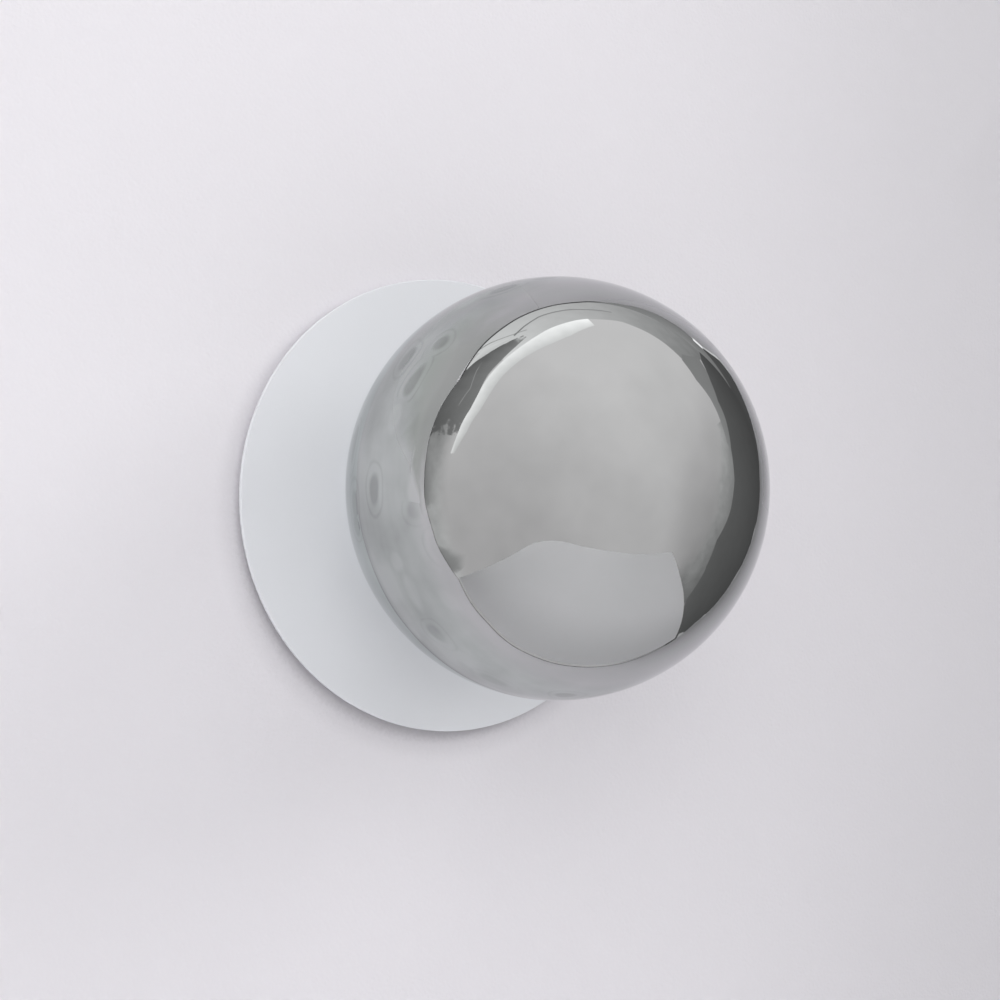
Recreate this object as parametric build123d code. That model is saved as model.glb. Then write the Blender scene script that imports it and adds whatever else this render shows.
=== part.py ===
from build123d import *
import os
from math import cos, radians, sin, sqrt

# Wall lamp: a mirror-coated glass ball with a screw neck, held by a collar on a thin round back plate.
# All sizes are in millimetres. Everything is drawn with x to the right, y up the wall and z out of the
# wall, from the middle of the lamp on the wall. The last step turns z to -Y, so that +Z is up.

# Back plate, and the foam disc that holds it off the wall
plate_diameter = 180.0
plate_thickness = 2.0
plate_edge_round = 0.6
backing_thickness = 2.0
backing_inset = 6.0

# Slots for the two wall screws
wall_slot_spacing = 60.0
wall_slot_width = 4.6
wall_slot_length = 8.0

# Glass ball and its screw neck
globe_diameter = 150.0
globe_wall = 3.0
globe_gap = 1.0
neck_room = 3.0
neck_root_round = 4.0
neck_rim_round = 1.2

# Collar and gasket that take the neck
thread_clearance = 0.6
collar_wall = 4.0
collar_height = 10.0
collar_lead_in = 0.8
collar_edge_round = 1.0
gasket_thickness = 1.5
gasket_clearance = 0.3
gasket_lip = 0.4

# Cover cup over the wiring
cup_height = 38.0
cup_wall = 1.2
cup_top_round = 4.0
cup_tab_width = 9.0
cup_screw_offset = 4.5

# Cable bush
bush_bore = 8.0
bush_wall = 1.0
bush_flange_width = 2.2
bush_flange_thickness = 1.5
bush_clearance = 0.1
bush_margin = 2.1

# Terminal block
pole_count = 3
pole_pitch = 10.0
terminal_width = 16.0
terminal_height = 13.0
terminal_margin = 1.3
terminal_web_width = 10.0
terminal_web_height = 3.5
barrel_radius = 3.4
wire_height = 5.5
wire_bore = 3.0
clamp_wall = 0.8
clamp_end_gap = 1.6
clamp_screw_spacing = 8.4
tower_wall = 1.2
column_radius = 2.5
column_height = 10.0

# Lamp leads and earth strap
lead_diameter = 2.0
conductor_diameter = 1.2
conductor_length = 7.0
lead_room = 13.8
lead_margin = 4.5
lead_drop = 15.0
lead_cross_fall = 5.0
earth_screw_margin = 6.0
strap_thickness = 0.8
strap_width = 7.0
strap_tongue_width = 2.2

# Lampholder for two loop pins
holder_diameter = 21.0
holder_rise = 12.0
holder_tail_diameter = 18.0
holder_tail = 10.0
holder_ear_width = 9.0
holder_ear_offset = 3.0
holder_ear_thickness = 3.0
holder_edge_round = 0.8
holder_clearance = 0.2
pin_spacing = 9.0
pin_wire = 1.0
pin_loop_width = 2.8
pin_length = 14.0
pin_end_room = 2.0
contact_gap = 0.2
contact_thickness = 0.4
contact_width = 4.0
contact_set_back = 2.0
contact_side_room = 0.5

# Plug-in light source
bulb_diameter = 18.0
bulb_base_height = 10.0
bulb_base_taper = 1.5
bulb_cover_height = 38.0
bulb_cover_wall = 0.8
bulb_spigot_height = 3.0
bulb_spigot_clearance = 0.3
board_width = 9.0
board_thickness = 1.0
board_height = 28.0
chip_width = 2.8
chip_height = 3.5
chip_thickness = 0.7
chip_rows = 5
chip_pitch = 5.0

# Fasteners: head radius, head height and shank radius
small_pan_head = (2.75, 2.0, 1.5)
earth_pan_head = (3.4, 2.4, 2.0)
block_pan_head = (2.2, 1.6, 1.25)
clamp_screw_head = (1.6, 1.5, 1.2)
countersunk_head_radius = 2.4
countersunk_shank_radius = 1.25
countersunk_grip = 5.0
collar_screw_count = 3
nut_across_flats = 5.5
nut_thickness = 2.4
screw_tail = 0.5
tail_set_back = 0.2
hole_clearance = 0.15
thread_gap = 0.05
driver_slot_width = 0.8

# Levels above the wall
plate_back = backing_thickness
plate_front = plate_back + plate_thickness
neck_end = plate_front + gasket_thickness
cup_top = plate_front + cup_height
holder_seat = cup_top + holder_ear_thickness
holder_top = holder_seat + holder_rise
holder_bottom = cup_top - holder_tail
slot_floor = holder_top - pin_length - pin_end_room
wire_level = plate_front + wire_height
bulb_shoulder = holder_top + bulb_base_height
spigot_top = bulb_shoulder + bulb_spigot_height

# The cup is as wide as the bush, the block and the bend of the leads that stand in it, in a row up the wall
bush_radius = bush_bore / 2 + bush_wall
bush_flange_radius = bush_bore / 2 + bush_flange_width
cup_bore = (bush_margin + 2 * bush_flange_radius + terminal_margin + terminal_width + lead_room) / 2
cup_radius = cup_bore + cup_wall
bush_y = cup_bore - bush_margin - bush_flange_radius
terminal_y = bush_y - bush_flange_radius - terminal_margin - terminal_width / 2
terminal_face = terminal_y - terminal_width / 2
lead_y = lead_margin - cup_bore
earth_y = earth_screw_margin - cup_bore
cup_screw_radius = cup_radius + cup_screw_offset
tab_reach = cup_screw_radius + cup_tab_width / 2

# The neck clears the cup's tabs, and the collar clears the neck
neck_bore = tab_reach + neck_room
neck_radius = neck_bore + globe_wall
collar_bore = neck_radius + thread_clearance
collar_radius = collar_bore + collar_wall
globe_radius = globe_diameter / 2
globe_centre = plate_front + globe_gap + globe_radius

# Places of what repeats
pole_places = [(i - (pole_count - 1) / 2) * pole_pitch for i in range(pole_count)]
column_places = [(a + b) / 2 for a, b in zip(pole_places, pole_places[1:])]
clamp_screw_places = [
    (x, terminal_y + side * clamp_screw_spacing / 2) for x in pole_places for side in (-1, 1)
]
collar_screw_places = [
    (
        (collar_bore + collar_radius) / 2 * sin(radians(360 * i / collar_screw_count)),
        (collar_bore + collar_radius) / 2 * cos(radians(360 * i / collar_screw_count)),
    )
    for i in range(collar_screw_count)
]
cup_screw_places = [(0, -cup_screw_radius), (0, cup_screw_radius)]
ear_reach = holder_diameter / 2 + holder_ear_offset
ear_places = [(-ear_reach, 0), (ear_reach, 0)]
pin_places = [-pin_spacing / 2, pin_spacing / 2]
wall_slot_places = [-wall_slot_spacing / 2, wall_slot_spacing / 2]

UP = (Align.CENTER, Align.CENTER, Align.MIN)


def disc(radius, low, high, x=0, y=0):
    return Pos(x, y, low) * Cylinder(radius, high - low, align=UP)


def block(width, depth, low, high, x=0, y=0):
    return Pos(x, y, low) * Box(width, depth, high - low, align=UP)


def rod(radius, start, end, x, level):
    """A rod along y."""
    lying = Rot(-90, 0, 0) * Cylinder(radius, end - start, align=UP)
    return Pos(x, start, level) * lying


def prism(sketch, low, high):
    return extrude(Pos(0, 0, low) * sketch, amount=high - low)


def turned(profile):
    """A profile, with its x as radius and its y as level, turned round the lamp's axis."""
    return revolve(Plane.XZ * profile, Axis.Z)


def pan_screw(size, length, x, y, seat):
    """A slotted pan-head screw whose head lies on the level called seat."""
    head_radius, head_height, shank_radius = size
    head = disc(head_radius, 0, head_height)
    head = fillet(head.edges().sort_by(Axis.Z)[-1], head_height / 3)
    slot = block(3 * head_radius, driver_slot_width, head_height / 2, 2 * head_height)
    return Pos(x, y, seat) * (head + disc(shank_radius, -length, 0) - slot)


def wall_slots(low, high):
    slot = SlotOverall(wall_slot_length, wall_slot_width)
    return [prism(Pos(x, 0) * slot, low, high) for x in wall_slot_places]


def countersunk(radius, shank):
    """The cone of a countersunk head, flush with the back of the plate."""
    return Pos(0, 0, plate_back) * Cone(radius, shank, radius - shank, align=UP)


def backing_disc():
    foam = disc(plate_diameter / 2 - backing_inset, 0, plate_back)
    foam -= disc(bush_radius + bush_clearance, 0, plate_back, 0, bush_y)
    return foam - wall_slots(0, plate_back)


def back_plate():
    plate = disc(plate_diameter / 2, plate_back, plate_front)
    plate = fillet(plate.edges().filter_by(GeomType.CIRCLE), plate_edge_round)
    plate -= wall_slots(plate_back, plate_front)
    plate -= disc(bush_radius + bush_clearance, plate_back, plate_front, 0, bush_y)
    for x, y in collar_screw_places:
        plate -= disc(countersunk_shank_radius + hole_clearance, plate_back, plate_front, x, y)
        plate -= Pos(x, y) * countersunk(countersunk_head_radius, countersunk_shank_radius)
    for x, y in cup_screw_places:
        plate -= disc(small_pan_head[2] + thread_gap, plate_back, plate_front, x, y)
    for x in column_places:
        plate -= disc(block_pan_head[2] + thread_gap, plate_back, plate_front, x, terminal_y)
    return plate - disc(earth_pan_head[2] + thread_gap, plate_back, plate_front, 0, earth_y)


def globe_collar():
    wall = Pos((collar_bore + collar_radius) / 2, plate_front + collar_height / 2)
    profile = wall * Rectangle(collar_wall, collar_height)
    mouth_inside, mouth_outside = profile.vertices().group_by(Axis.Y)[-1].sort_by(Axis.X)
    profile = chamfer(mouth_inside, collar_lead_in)
    mouth_outside = profile.vertices().group_by(Axis.Y)[-1].sort_by(Axis.X)[-1]
    ring = turned(fillet(mouth_outside, collar_edge_round))
    for x, y in collar_screw_places:
        ring -= disc(countersunk_shank_radius + thread_gap, plate_front, plate_front + countersunk_grip, x, y)
    return ring


def collar_screws():
    shank = disc(countersunk_shank_radius, plate_back, plate_front + countersunk_grip)
    screw = shank + countersunk(countersunk_head_radius, countersunk_shank_radius)
    return [Pos(x, y) * screw for x, y in collar_screw_places]


def neck_gasket():
    outside = disc(collar_bore - gasket_clearance, plate_front, neck_end)
    return outside - disc(neck_bore - gasket_lip, plate_front, neck_end)


def ball_and_neck(ball, neck, root):
    """The outline of a ball that runs with a rounded root into a neck, as a flat shape."""
    neck_length = globe_centre - neck_end
    outline = Pos(0, globe_centre) * Circle(ball)
    outline += Pos(0, neck_end + neck_length / 2) * Rectangle(2 * neck, neck_length)
    root_level = globe_centre - sqrt(ball**2 - neck**2)
    corners = [v for v in outline.vertices() if abs(v.Y - root_level) < neck_rim_round]
    return fillet(corners, root)


def glass_globe():
    outside = ball_and_neck(globe_radius, neck_radius, neck_root_round)
    inside = ball_and_neck(globe_radius - globe_wall, neck_bore, neck_root_round + globe_wall)
    half = Pos(globe_radius, neck_end + globe_diameter) * Rectangle(globe_diameter, 2 * globe_diameter)
    globe = turned((outside - inside) & half)
    globe = fillet(globe.edges().group_by(Axis.Z)[0], neck_rim_round)
    # One piece of glass, kept as two solids that meet at its widest ring, so that collision follows the hollow.
    return list(split(globe, bisect_by=Plane.XY.offset(globe_centre), keep=Keep.BOTH).solids())


def cover_cup():
    cup = disc(cup_radius, plate_front, cup_top)
    cup = fillet(cup.edges().group_by(Axis.Z)[-1], cup_top_round)
    inside = disc(cup_bore, plate_front, cup_top - cup_wall)
    inside = fillet(inside.edges().group_by(Axis.Z)[-1], cup_top_round - cup_wall)
    tabs = SlotOverall(2 * tab_reach, cup_tab_width, rotation=90)
    cup += prism(tabs, plate_front, plate_front + cup_wall)
    cup -= inside
    cup -= disc(holder_tail_diameter / 2 + holder_clearance, plate_front, cup_top)
    for x, y in cup_screw_places:
        cup -= disc(small_pan_head[2] + hole_clearance, plate_front, plate_front + cup_wall, x, y)
    for x, y in ear_places:
        cup -= disc(small_pan_head[2] + hole_clearance, cup_top - cup_wall, cup_top, x, y)
    return cup


def cup_screws():
    length = cup_wall + plate_thickness - tail_set_back
    return [pan_screw(small_pan_head, length, x, y, plate_front + cup_wall) for x, y in cup_screw_places]


def cable_bush():
    bush = disc(bush_radius, 0, plate_front, 0, bush_y)
    bush += disc(bush_flange_radius, plate_front, plate_front + bush_flange_thickness, 0, bush_y)
    return bush - disc(bush_bore / 2, 0, plate_front + bush_flange_thickness, 0, bush_y)


clamp_radius = wire_bore / 2 + clamp_wall
clamp_start = terminal_face + clamp_end_gap
clamp_end = terminal_face + terminal_width - clamp_end_gap


def terminal_block():
    front = terminal_face + terminal_width
    body = block(
        pole_pitch * (pole_count - 1), terminal_web_width, plate_front, plate_front + terminal_web_height,
        0, terminal_y,
    )
    for x in pole_places:
        body += rod(barrel_radius, terminal_face, front, x, wire_level)
        body += block(2 * barrel_radius, terminal_width, plate_front, wire_level, x, terminal_y)
    for x, y in clamp_screw_places:
        body += disc(clamp_screw_head[0] + tower_wall, wire_level, plate_front + terminal_height, x, y)
    for x in column_places:
        body += disc(column_radius, plate_front, plate_front + column_height, x, terminal_y)
    for x in pole_places:
        body -= rod(clamp_radius + thread_gap, clamp_start, clamp_end, x, wire_level)
        body -= rod(wire_bore / 2, terminal_face, front, x, wire_level)
    for x, y in clamp_screw_places:
        body -= disc(clamp_screw_head[0] + hole_clearance, wire_level, plate_front + terminal_height, x, y)
    for x in column_places:
        body -= disc(block_pan_head[2] + hole_clearance, plate_front, plate_front + column_height, x, terminal_y)
    return body


def terminal_clamps():
    clamps = []
    for pole in pole_places:
        clamp = rod(clamp_radius, clamp_start, clamp_end, pole, wire_level)
        clamp -= rod(wire_bore / 2, clamp_start, clamp_end, pole, wire_level)
        for x, y in clamp_screw_places:
            if x == pole:
                clamp -= disc(clamp_screw_head[2] + thread_gap, wire_level, wire_level + 2 * clamp_radius, x, y)
        clamps.append(clamp)
    return clamps


def terminal_screws():
    tip = wire_level + conductor_diameter / 2
    seat = plate_front + terminal_height - clamp_screw_head[1]
    return [pan_screw(clamp_screw_head, seat - tip, x, y, seat) for x, y in clamp_screw_places]


def block_screws():
    length = column_height + plate_thickness - tail_set_back
    seat = plate_front + column_height
    return [pan_screw(block_pan_head, length, x, terminal_y, seat) for x in column_places]


def earth_strap():
    """A bent strip from the middle clamp down to the plate."""
    top = wire_level + conductor_diameter / 2
    foot_top = plate_front + strap_thickness
    leg_y = earth_y + earth_pan_head[0] + strap_thickness + hole_clearance
    foot = block(strap_width, leg_y - earth_y, plate_front, foot_top, 0, (leg_y + earth_y) / 2)
    foot += disc(strap_width / 2, plate_front, foot_top, 0, earth_y)
    leg = block(strap_width, strap_thickness, plate_front, top, 0, leg_y - strap_thickness / 2)
    tongue_end = terminal_face + conductor_length
    tongue = block(
        strap_tongue_width, tongue_end - leg_y, top - strap_thickness, top, 0, (tongue_end + leg_y) / 2
    )
    return foot + leg + tongue - disc(earth_pan_head[2] + hole_clearance, plate_front, foot_top, 0, earth_y)


def earth_screw():
    length = strap_thickness + plate_thickness - tail_set_back
    return pan_screw(earth_pan_head, length, 0, earth_y, plate_front + strap_thickness)


def lamp_lead(side):
    """One lead from its contact in the lampholder, round the back of the block, into an outer clamp."""
    holder_x = side * pin_spacing / 2
    pole_x = side * pole_places[-1]
    turn_level = holder_bottom - lead_drop / 3
    entry_bend = 0.6 * (terminal_face - lead_y)
    corners = [
        (holder_x, 0, slot_floor),
        (holder_x, 0, turn_level),
        (pole_x, lead_y, turn_level - lead_cross_fall),
        (pole_x, lead_y, wire_level),
        (pole_x, terminal_face, wire_level),
    ]
    route = FilletPolyline(*corners, radius=[lead_drop / 2, entry_bend, entry_bend])
    lead = sweep(Plane(route @ 0, z_dir=route % 0) * Circle(lead_diameter / 2), path=route)
    bare_end = terminal_face + conductor_length
    return lead + rod(conductor_diameter / 2, terminal_face, bare_end, pole_x, wire_level)


slot_half_width = pin_wire / 2 + contact_gap + contact_thickness


def lampholder():
    body = disc(holder_diameter / 2, cup_top, holder_top)
    body = fillet(body.edges().group_by(Axis.Z)[-1], holder_edge_round)
    ears = SlotCenterToCenter(2 * ear_reach, holder_ear_width)
    body += prism(ears, cup_top, holder_seat)
    body += disc(holder_tail_diameter / 2, holder_bottom, cup_top)
    for x in pin_places:
        slot_length = pin_loop_width + pin_wire + 2 * contact_side_room
        body -= block(slot_length, 2 * slot_half_width, slot_floor, holder_top, x)
        body -= disc(lead_diameter / 2 + hole_clearance, holder_bottom, slot_floor, x)
    for x, y in ear_places:
        body -= disc(small_pan_head[2] + hole_clearance, cup_top, holder_seat, x, y)
    return body


def lampholder_contacts():
    """A folded strip on the floor of each slot, with a leaf up each long side."""
    strip_top = holder_top - contact_set_back
    inner = slot_half_width - contact_thickness
    contacts = []
    for x in pin_places:
        strip = block(contact_width, 2 * slot_half_width, slot_floor, strip_top, x)
        gap = block(2 * contact_width, 2 * inner, slot_floor + contact_thickness, strip_top, x)
        contacts.append(strip - gap)
    return contacts


def lampholder_screws():
    length = holder_ear_thickness + cup_wall + nut_thickness + screw_tail
    return [pan_screw(small_pan_head, length, x, y, holder_seat) for x, y in ear_places]


def lampholder_nuts():
    top = cup_top - cup_wall
    hexagon = RegularPolygon(nut_across_flats / 2, 6, major_radius=False)
    nut = prism(hexagon, top - nut_thickness, top)
    nut -= disc(small_pan_head[2] + thread_gap, top - nut_thickness, top)
    return [Pos(x, y) * nut for x, y in ear_places]


bulb_radius = bulb_diameter / 2
spigot_radius = bulb_radius - bulb_cover_wall - bulb_spigot_clearance


def bulb_base():
    foot_radius = bulb_radius - bulb_base_taper
    taper_top = holder_top + 2 * bulb_base_taper
    profile = Polyline(
        (0, holder_top),
        (foot_radius, holder_top),
        (bulb_radius, taper_top),
        (bulb_radius, bulb_shoulder),
        (spigot_radius, bulb_shoulder),
        (spigot_radius, spigot_top),
        (0, spigot_top),
        close=True,
    )
    return turned(make_face(profile))


def bulb_pins():
    """Two loops of bare wire, each open at the base."""
    bend = pin_loop_width / 2
    bend_level = holder_top - pin_length + bend + pin_wire / 2
    loops = []
    for x in pin_places:
        start, end = (x - bend, 0, holder_top), (x + bend, 0, holder_top)
        corner, far_corner = (x - bend, 0, bend_level), (x + bend, 0, bend_level)
        lowest = (x, 0, bend_level - bend)
        loop = Line(start, corner) + ThreePointArc(corner, lowest, far_corner) + Line(far_corner, end)
        loops.append(sweep(Plane(start, z_dir=(0, 0, -1)) * Circle(pin_wire / 2), path=loop))
    return loops


def capsule(radius, low, high):
    """A cylinder with a domed end."""
    straight = disc(radius, low, high - radius)
    return straight + (Pos(0, 0, high - radius) * Sphere(radius))


def bulb_cover():
    top = bulb_shoulder + bulb_cover_height
    cover = capsule(bulb_radius, bulb_shoulder, top)
    return cover - capsule(bulb_radius - bulb_cover_wall, bulb_shoulder, top - bulb_cover_wall)


def bulb_board():
    return block(board_width, board_thickness, spigot_top, spigot_top + board_height)


def bulb_chips():
    chips = []
    for side in (-1, 1):
        y = side * (board_thickness + chip_thickness) / 2
        for column in (-1, 1):
            for row in range(chip_rows):
                low = spigot_top + board_height - chip_pitch * (row + 1)
                chips.append(block(chip_width, chip_thickness, low, low + chip_height, column * board_width / 4, y))
    return chips


PIECES = {
    "backing_disc": backing_disc,
    "back_plate": back_plate,
    "globe_collar": globe_collar,
    "collar_screws": collar_screws,
    "neck_gasket": neck_gasket,
    "glass_globe": glass_globe,
    "cover_cup": cover_cup,
    "cup_screws": cup_screws,
    "cable_bush": cable_bush,
    "terminal_block": terminal_block,
    "terminal_clamps": terminal_clamps,
    "terminal_screws": terminal_screws,
    "block_screws": block_screws,
    "earth_strap": earth_strap,
    "earth_screw": earth_screw,
    "live_lead": lambda: lamp_lead(1),
    "neutral_lead": lambda: lamp_lead(-1),
    "lampholder": lampholder,
    "lampholder_contacts": lampholder_contacts,
    "lampholder_screws": lampholder_screws,
    "lampholder_nuts": lampholder_nuts,
    "bulb_base": bulb_base,
    "bulb_pins": bulb_pins,
    "bulb_cover": bulb_cover,
    "bulb_board": bulb_board,
    "bulb_chips": bulb_chips,
}

on_the_wall = Rot(90, 0, 0)
os.makedirs("parts", exist_ok=True)
for name, make in PIECES.items():
    piece = make()
    if isinstance(piece, list):
        piece = Compound(piece)
    export_step(on_the_wall * piece, f"parts/{name}.step")
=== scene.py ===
from math import cos, radians, sin

import bmesh
import bpy
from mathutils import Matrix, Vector


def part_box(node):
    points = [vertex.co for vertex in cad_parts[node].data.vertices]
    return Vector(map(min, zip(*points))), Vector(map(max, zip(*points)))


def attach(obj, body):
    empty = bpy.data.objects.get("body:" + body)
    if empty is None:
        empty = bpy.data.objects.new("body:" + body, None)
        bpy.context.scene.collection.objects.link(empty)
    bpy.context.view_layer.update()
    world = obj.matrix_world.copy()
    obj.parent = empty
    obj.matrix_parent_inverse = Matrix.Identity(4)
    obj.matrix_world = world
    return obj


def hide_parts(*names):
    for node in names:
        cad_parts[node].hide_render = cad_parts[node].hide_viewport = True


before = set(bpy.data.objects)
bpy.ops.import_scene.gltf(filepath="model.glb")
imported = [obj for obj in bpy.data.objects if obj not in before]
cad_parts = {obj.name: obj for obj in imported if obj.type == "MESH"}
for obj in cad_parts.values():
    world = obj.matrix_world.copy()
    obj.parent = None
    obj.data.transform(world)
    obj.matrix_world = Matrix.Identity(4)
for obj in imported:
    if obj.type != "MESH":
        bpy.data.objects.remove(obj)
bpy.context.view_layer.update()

bl_info = {
    "name": "Mirror Ball Wall Lamp",
    "version": (1, 0, 0),
    "blender": (4, 5, 0),
    "location": "View3D > Sidebar > Wall Lamp",
    "description": "Adds the glass ball, screw threads, finishes and studio of a wall lamp to its frame",
    "category": "Object",
}

BLACK = (0.0, 0.0, 0.0)

# Places that differ by less than this count as level, in metres.
CLOSE = 1e-6


class Value:
    """A node output that can be added, subtracted and multiplied like a number."""

    def __init__(self, look, socket):
        self.look = look
        self.socket = socket

    def __add__(self, other):
        return self.look.math("ADD", self, other)

    def __radd__(self, other):
        return self.look.math("ADD", other, self)

    def __sub__(self, other):
        return self.look.math("SUBTRACT", self, other)

    def __rsub__(self, other):
        return self.look.math("SUBTRACT", other, self)

    def __mul__(self, other):
        return self.look.math("MULTIPLY", self, other)

    def __rmul__(self, other):
        return self.look.math("MULTIPLY", other, self)


class Look:
    """A procedural material and the nodes that make it."""

    def __init__(self, name):
        self.material = bpy.data.materials.new(name)
        self.material.use_nodes = True
        self.tree = self.material.node_tree
        self.surface = self.tree.nodes["Principled BSDF"]
        self.output = self.tree.nodes["Material Output"]

    def node(self, kind, inputs=None, output=0, **settings):
        """Make a node, set it up, feed its inputs and return one of its outputs."""
        made = self.tree.nodes.new(kind)
        for name, setting in settings.items():
            setattr(made, name, setting)
        for key, value in (inputs or {}).items():
            self.feed(made.inputs[key], value)
        return Value(self, made.outputs[output])

    def feed(self, socket, value):
        """Link a node's output to the socket, or set the socket to a constant."""
        if isinstance(value, Value):
            self.tree.links.new(value.socket, socket)
        else:
            socket.default_value = value

    def set(self, **inputs):
        """Feed inputs of the Principled shader, named with underscores for spaces."""
        for name, value in inputs.items():
            self.feed(self.surface.inputs[name.replace("_", " ").title().replace("Ior", "IOR")], value)

    def math(self, operation, first, second):
        return self.node("ShaderNodeMath", {0: first, 1: second}, operation=operation)

    def place(self, output="Object"):
        return self.node("ShaderNodeTexCoord", output=output)

    def axis(self, name, output="Object"):
        """One coordinate, X, Y or Z, of a place on the surface."""
        return self.node("ShaderNodeSeparateXYZ", {0: self.place(output)}, output=name)

    def stretched(self, scale):
        """Object coordinates in metres, drawn out along the axes with a small scale."""
        return self.node("ShaderNodeMapping", {"Vector": self.place(), "Scale": scale})

    def noise(self, scale, detail=2.0, roughness=0.5, where=None):
        inputs = {"Vector": where or self.place(), "Scale": scale, "Detail": detail, "Roughness": roughness}
        return self.node("ShaderNodeTexNoise", inputs)

    def cells(self, scale, where=None, output=0, **settings):
        inputs = {"Vector": where or self.place(), "Scale": scale}
        return self.node("ShaderNodeTexVoronoi", inputs, output, **settings)

    def span(self, value, low, high, to_low=0.0, to_high=1.0):
        """Carry a value from one range over to another, smoothly, and hold it at the ends."""
        inputs = {"Value": value, 1: low, 2: high, 3: to_low, 4: to_high}
        return self.node("ShaderNodeMapRange", inputs, interpolation_type="SMOOTHSTEP")

    def mix(self, factor, first, second):
        inputs = {0: factor, 6: colour(first), 7: colour(second)}
        return self.node("ShaderNodeMix", inputs, output=2, data_type="RGBA")

    def bump(self, height, depth, strength=1.0):
        """Raise the surface by a height field, with a depth in metres."""
        inputs = {"Height": height, "Distance": depth, "Strength": strength}
        self.set(normal=self.node("ShaderNodeBump", inputs))

    def shine(self, light):
        """Give off light and reflect none."""
        self.set(base_color=colour(BLACK), specular_ior_level=0.0)
        self.set(emission_strength=1.0, emission_color=light)


def colour(value):
    """A colour as four numbers, from three numbers or a node output."""
    if isinstance(value, Value):
        return value
    return (*value, 1.0)


def grey(brightness):
    return (brightness, brightness, brightness)


def powder_coat(finish):
    """Matt white powder coat: a fine orange peel and faint clouds of colour and gloss."""
    look = Look("white_powder_coat")
    peel = look.noise(1500.0, 2.0)
    clouds = look.noise(16.0, 3.0)
    pale = finish.paint
    deep = [0.955 * part for part in pale]
    look.set(base_color=look.mix(clouds, deep, pale), roughness=0.44 + 0.14 * peel + 0.06 * clouds)
    look.set(specular_ior_level=0.4)
    look.bump(peel, 0.00012, 0.35)
    return look.material


# The silvering's pattern is rolled off the ball like a flat strip. Each pair of depths, in front of the
# wall, is where a change in it begins and where it is complete.
ROLL_RADIUS = 0.05
STRIP_START = 3.1
DENTS_PER_METRE = 64.0
STREAKED_DEPTHS = (-0.12, -0.106)
WORN_DEPTHS = (-0.112, -0.1)
THINNING_DEPTHS = (-0.092, -0.05)
COOL_TINT = (0.965, 1.008, 0.982)
# How far the silver dims, both in thin patches and in the painted dark reflections of the dents.
THIN_AND_DIMPLE_SHARE = 0.71


def mirror_glass(finish):
    """Silvered blown glass: a grey mirror with slow waves, and dents and thin patches towards its neck; the
    dents carry painted reflections, with dark spots and rings in some and light spots in others.
    """
    look = Look("silvered_blown_glass")
    right, depth, up = (look.axis(name) for name in "XYZ")
    patches = look.noise(46.0, 3.0)
    haze = look.noise(120.0, 3.0)
    slow = look.noise(finish.wave_scale, 1.0, 0.4)
    around = STRIP_START + ROLL_RADIUS * look.math("ARCTAN2", up, 0.0 - right) + 0.015 * (slow - 0.5)
    rolled = look.node("ShaderNodeCombineXYZ", {0: around, 1: depth})
    spread = look.cells(DENTS_PER_METRE, rolled, voronoi_dimensions="2D")
    chance = look.cells(DENTS_PER_METRE, rolled, "Color", voronoi_dimensions="2D")
    # Painted reflections of the dents: dark spots with dark outlines in some cells, light spots in others.
    spot = look.span(spread, 0.12, 0.26, 1.0, 0.0)
    painted_dark_outline = look.span(spread, 0.30, 0.35) * look.span(spread, 0.35, 0.40, 1.0, 0.0)
    dented_and_painted_dark = look.span(chance, 0.34, 0.5)
    painted_light_cells = look.span(chance, 0.24, 0.34, 1.0, 0.0)
    rear = look.span(depth, *WORN_DEPTHS)
    rim = look.span(depth, *THINNING_DEPTHS)
    worn_and_painted_dimples = dented_and_painted_dark * (spot + 0.35 * painted_dark_outline) - 0.4 * (painted_light_cells * spot) + 1.7 * (patches - 0.46)
    drawn_out = look.node("ShaderNodeCombineXYZ", {0: around, 1: 2.5 * depth})
    streaks = look.span(depth, *STREAKED_DEPTHS) * (look.noise(42.0, 2.0, 0.5, drawn_out) - 0.5)
    # Share of dimmed silver: thin patches towards the neck, and the painted reflections of the dents.
    thin = 0.1 + 0.6 * rim + rear * worn_and_painted_dimples + 0.3 * (patches - 0.4) + 1.1 * streaks
    bright = finish.silver
    cool = [share * part for share, part in zip(COOL_TINT, bright)]
    dim = [THIN_AND_DIMPLE_SHARE * part for part in cool]
    silver = look.mix(rear, bright, cool)
    look.set(base_color=look.mix(thin, silver, dim), roughness=0.012 + 0.03 * haze)
    look.set(metallic=1.0, specular_tint=(0.88, 0.88, 0.89, 1.0))
    look.bump(slow + 0.15 * (rear * dented_and_painted_dark * spot), finish.wave_depth)
    return look.material


def foam():
    """Black closed-cell foam: round cells of about a millimetre with paler skins."""
    look = Look("closed_cell_foam")
    cell = look.cells(900.0)
    blot = look.noise(60.0, 3.0)
    black = look.mix(cell, (0.012, 0.012, 0.013), (0.045, 0.045, 0.048))
    look.set(base_color=black, roughness=0.85 + 0.12 * blot)
    look.bump(cell, 0.0004, 0.8)
    return look.material


def moulded(name, deep, pale, rough, grain, depth, **constants):
    """Moulded plastic, rubber or ceramic: slow clouds of colour and a fine even grain."""
    look = Look(name)
    clouds = look.noise(55.0, 3.0)
    fine = look.noise(grain, 2.0)
    look.set(base_color=look.mix(clouds, deep, pale), roughness=rough + 0.14 * fine, **constants)
    look.bump(fine, depth, 0.4)
    return look.material


def metal(name, deep, pale, rough, drawn):
    """Plated or turned metal: drawn tool lines, blotches of tarnish and uneven gloss."""
    look = Look(name)
    lines = look.noise(900.0, 2.0, 0.6, look.stretched(drawn))
    blot = look.noise(120.0, 3.0)
    look.set(base_color=look.mix(blot, deep, pale), roughness=rough + 0.16 * lines, metallic=1.0)
    look.bump(lines, 0.00008, 0.4)
    return look.material


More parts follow.
